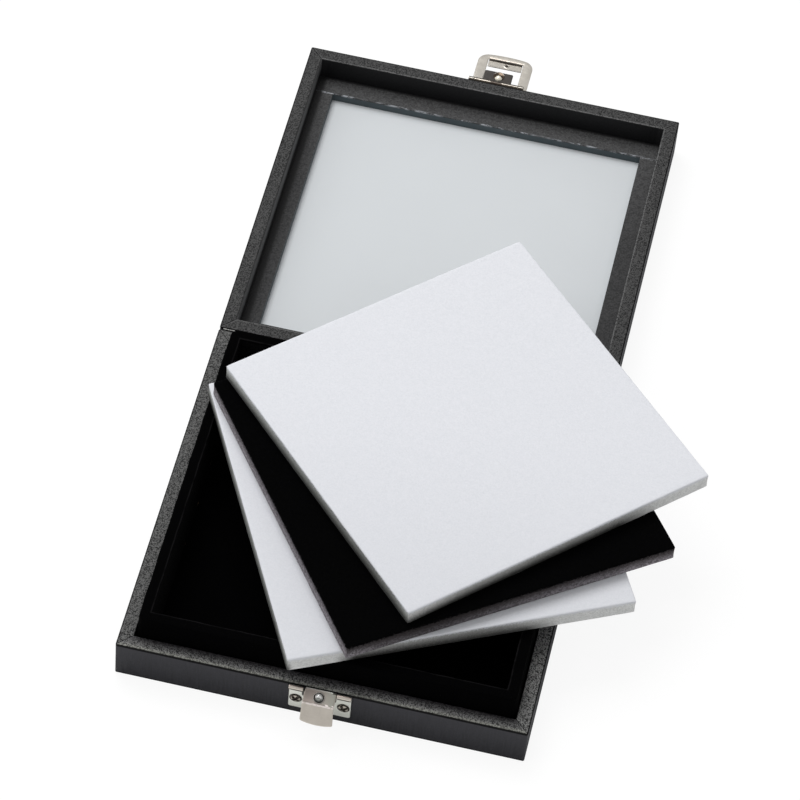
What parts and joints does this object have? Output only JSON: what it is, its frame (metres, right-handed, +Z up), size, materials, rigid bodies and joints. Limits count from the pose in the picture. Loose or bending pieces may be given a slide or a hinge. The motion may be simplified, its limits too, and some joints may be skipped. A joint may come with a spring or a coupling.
{
  "type": "miniature carry case",
  "caption": "Shallow leatherette-covered case with a velvet collar and well, a glazed lid on a folded hinge, a small hasp catch, and loose square foam pads.",
  "frame": {"origin": "centre of the base's underside", "axes": "+Z up; +Y from the base's front (its catch) to the hinge and on to the open lid; +X to the right seen from the front"},
  "size_m": [0.1796, 0.3112, 0.0428],
  "materials": {
    "board": "raw fibreboard",
    "card": "raw grey card",
    "paper": "matt black lining paper",
    "leatherette": "pebble-grained black leatherette",
    "velvet": "short black velvet pile",
    "ledge_covering": "black paper-covered card",
    "glass": "clear polished glass",
    "nickel": "satin nickel-plated sheet steel",
    "bright_nickel": "bright nickel plate",
    "white_foam": "soft felted white face over open foam",
    "black_foam": "soft felted black face over open foam"
  },
  "bodies": {
    "base": {"base_underlay": "paper", "base_bottom_board": "board", "base_front_board": "board", "base_back_board": "board", "base_left_board": "board", "base_right_board": "board", "base_covering": "leatherette", "collar_front_card": "card", "collar_back_card": "card", "collar_left_card": "card", "collar_right_card": "card", "collar_velvet": "velvet", "floor_velvet": "velvet", "hinge_strip": "leatherette", "catch_plate": "nickel", "catch_ball": "bright_nickel", "catch_screws": "bright_nickel"},
    "lid": {"lid_top_board": "board", "lid_front_board": "board", "lid_back_board": "board", "lid_left_board": "board", "lid_right_board": "board", "lid_face_sheet": "leatherette", "lid_covering": "leatherette", "glass_pane": "glass", "ledge_front_strip": "ledge_covering", "ledge_back_strip": "ledge_covering", "ledge_left_strip": "ledge_covering", "ledge_right_strip": "ledge_covering", "hasp_plate": "nickel", "hasp_ball": "bright_nickel", "hasp_pins": "bright_nickel", "hasp_screws": "bright_nickel"},
    "loop": {"hasp_loop": "nickel"},
    "lower_pad": {"white_pad_bottom": "white_foam"},
    "middle_pad": {"black_pad": "black_foam"},
    "upper_pad": {"white_pad_top": "white_foam"}
  },
  "joints": [
    {"name": "lid_hinge", "type": "hinge", "parent": "base", "child": "lid", "pos_m": [0, 0.07125, 0.0158], "axis": [1, 0, 0], "range_deg": [0, 180], "deforming": ["hinge_strip"]},
    {"name": "hasp_turn", "type": "hinge", "parent": "lid", "child": "loop", "pos_m": [0, 0.21455, 0.0144], "axis": [1, 0, 0], "range_deg": [-30, 94]},
    {"name": "lower_pad_lift", "type": "slide", "parent": "base", "child": "lower_pad", "axis": [0, 0, 1], "range_m": [0, 0.4]},
    {"name": "middle_pad_lift", "type": "slide", "parent": "lower_pad", "child": "middle_pad", "axis": [0, 0, 1], "range_m": [0, 0.06]},
    {"name": "upper_pad_lift", "type": "slide", "parent": "middle_pad", "child": "upper_pad", "axis": [0, 0, 1], "range_m": [0, 0.06]}
  ],
  "couplings": [
    {"joint": "lower_pad_lift", "follows": "lid_hinge", "m_per_rad": 0.125}
  ]
}
